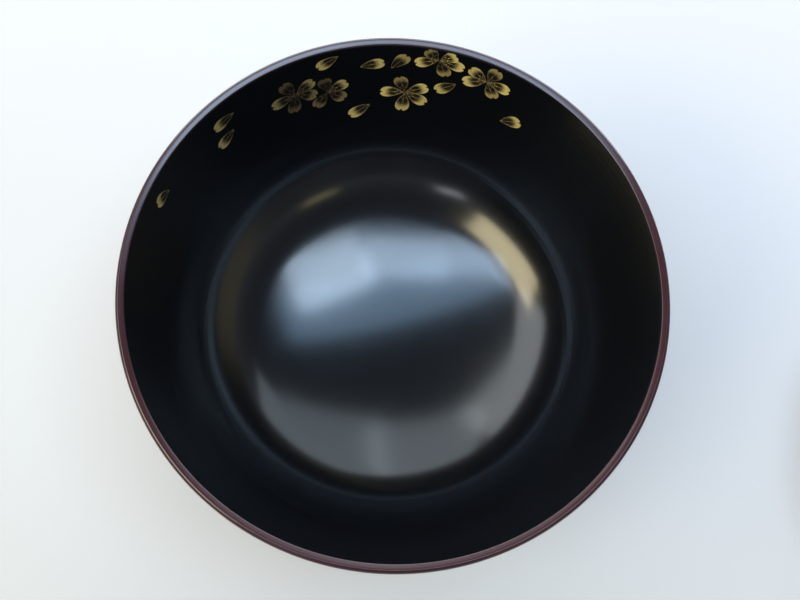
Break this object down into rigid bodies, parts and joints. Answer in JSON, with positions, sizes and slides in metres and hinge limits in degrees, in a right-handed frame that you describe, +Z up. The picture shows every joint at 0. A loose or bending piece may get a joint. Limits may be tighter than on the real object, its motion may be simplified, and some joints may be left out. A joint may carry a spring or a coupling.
{
  "type": "lidded soup bowl",
  "caption": "Round lacquered soup bowl on a foot ring, black inside with gold blossoms and petals, and a lid with a grip ring that covers its rim.",
  "frame": {"origin": "on the bowl's axis at the table, at the mouth of the recess inside its foot ring", "axes": "+Z up along the bowl's axis, +X from the bowl to the lid beside it, +Y to the wall with the gold blossoms"},
  "size_m": [0.298, 0.121, 0.067],
  "materials": {
    "wood": "turned, bare under the lacquer",
    "cloth": "coarse hemp, soaked in lacquer",
    "black_lacquer": "black lacquer, satin gloss",
    "brown_lacquer": "dark red-brown lacquer, gloss",
    "gold": "sprinkled gold powder, burnished"
  },
  "bodies": {
    "bowl": {"bowl_core": "wood", "bowl_inner_lacquer": "black_lacquer", "bowl_outer_lacquer": "brown_lacquer", "rim_cloth": "cloth", "foot_cloth": "cloth", "gold_blossoms": "gold", "gold_petals": "gold"},
    "lid": {"lid_core": "wood", "lid_inner_lacquer": "black_lacquer", "lid_outer_lacquer": "brown_lacquer", "lid_cloth": "cloth"}
  },
  "joints": [
    {"name": "lid_turn", "type": "hinge", "parent": "bowl", "child": "lid", "pos_m": [0.09, 0, 0.0448], "axis": [0, -1, 0], "range_deg": [0, 180]}
  ]
}
